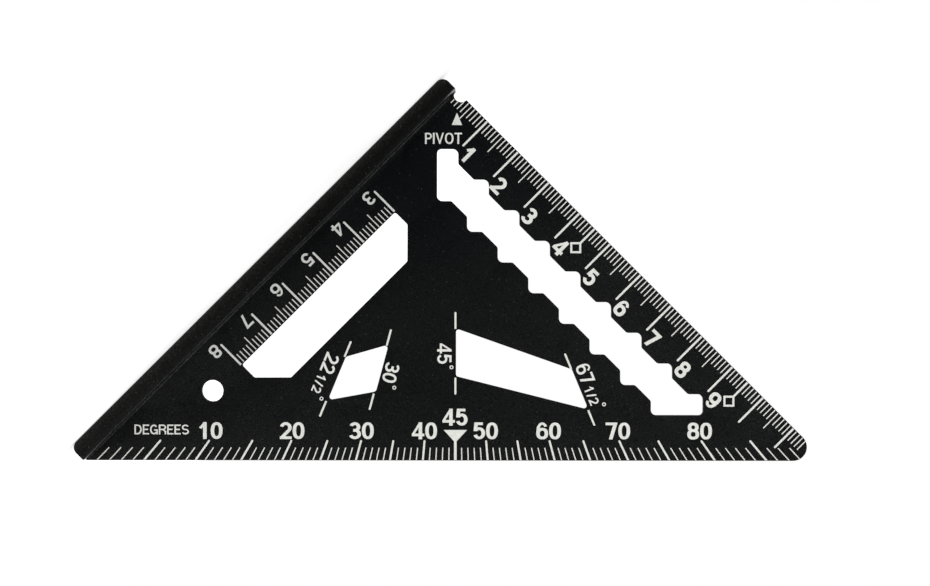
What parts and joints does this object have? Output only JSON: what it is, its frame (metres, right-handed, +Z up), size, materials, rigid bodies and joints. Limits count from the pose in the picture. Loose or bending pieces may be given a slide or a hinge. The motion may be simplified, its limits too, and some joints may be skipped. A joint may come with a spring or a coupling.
{
  "type": "rafter square",
  "caption": "Metric rafter square: flat triangular blade in a raised fence, with scribing, ruled and bevel windows, a hanging hole and printed length and degree scales.",
  "frame": {"origin": "middle of the fence's base, under the blade's mid-plane", "axes": "+X along the fence away from the pivot corner, +Y through the blade towards its back face, +Z up the leg from the fence to the tip"},
  "size_m": [0.1206, 0.016, 0.1206],
  "materials": {
    "blade_coat": "matt black anodised coat, fine grain",
    "fence_coat": "satin black anodised coat",
    "pin_steel": "plain steel",
    "print": "matt pale printed coat"
  },
  "bodies": {
    "root": {"blade": "blade_coat", "fence": "fence_coat", "fence_pins": "pin_steel", "leg_scale": "print", "leg_numerals": "print", "leg_markers": "print", "ruled_window_scale": "print", "ruled_window_numerals": "print", "degree_scale": "print", "degree_numerals": "print", "degree_pointer": "print", "degrees_word": "print", "pivot_marker": "print", "pivot_word": "print", "bevel_guides": "print", "bevel_label_22": "print", "bevel_label_30": "print", "bevel_label_45": "print", "bevel_label_67": "print", "back_leg_scale": "print", "back_leg_numerals": "print", "back_degree_scale": "print", "back_degree_numerals": "print"}
  },
  "joints": []
}
